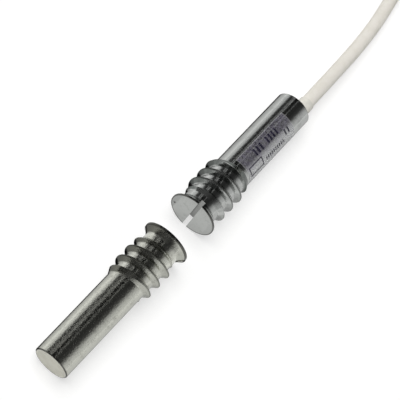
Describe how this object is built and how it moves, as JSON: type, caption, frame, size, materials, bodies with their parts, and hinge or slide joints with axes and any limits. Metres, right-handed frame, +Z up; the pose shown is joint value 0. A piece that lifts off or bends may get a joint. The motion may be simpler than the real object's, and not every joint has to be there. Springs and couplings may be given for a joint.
{
  "type": "magnetic reed switch",
  "caption": "Door contact of slotted, threaded metal barrels: a sealed reed switch half with its cable and a matching magnet half, lying flange to flange.",
  "frame": {"origin": "on the surface that both halves lie on, midway between the two flange faces", "axes": "+X along the two halves' common line, from the magnet half to the switch half and its cable; +Z up from the surface"},
  "size_m": [0.2364, 0.0333, 0.014],
  "materials": {
    "housing": "satin nickel plate on turned brass",
    "reed_glass": "clear, slightly green",
    "reed_sleeve": "soft silicone, matte",
    "reed_metal": "plated nickel-iron",
    "copper": "bare copper strands",
    "core_white": "white insulation",
    "core_brown": "brown insulation",
    "core_green": "green insulation",
    "core_yellow": "yellow insulation",
    "solder": "bright solder",
    "potting": "cast epoxy",
    "bush": "moulded, off-white",
    "jacket": "off-white PVC, slightly warm",
    "tie": "natural nylon band",
    "label": "clear film with a violet tint",
    "magnet": "plated magnet alloy",
    "end_disc": "moulded, pale beige-grey"
  },
  "bodies": {
    "root": {"switch_housing": "housing", "magnet_housing": "housing", "reed_glass": "reed_glass", "reed_sleeve": "reed_sleeve", "reed_blade_front": "reed_metal", "reed_blade_rear": "reed_metal", "conductor_white": "copper", "conductor_brown": "copper", "conductor_green": "copper", "conductor_yellow": "copper", "core_white": "core_white", "core_brown": "core_brown", "core_green": "core_green", "core_yellow": "core_yellow", "solder_front": "solder", "solder_rear": "solder", "solder_tamper": "solder", "switch_potting": "potting", "cable_bush": "bush", "cable_run": "jacket", "cable_hank": "jacket", "cable_tail": "jacket", "hank_tie": "tie", "tail_core_white": "core_white", "tail_core_brown": "core_brown", "tail_core_green": "core_green", "tail_core_yellow": "core_yellow", "tail_tip_white": "copper", "tail_tip_brown": "copper", "tail_tip_green": "copper", "tail_tip_yellow": "copper", "label_film": "label", "magnet": "magnet", "magnet_potting": "potting", "magnet_end_disc": "end_disc"}
  },
  "joints": []
}
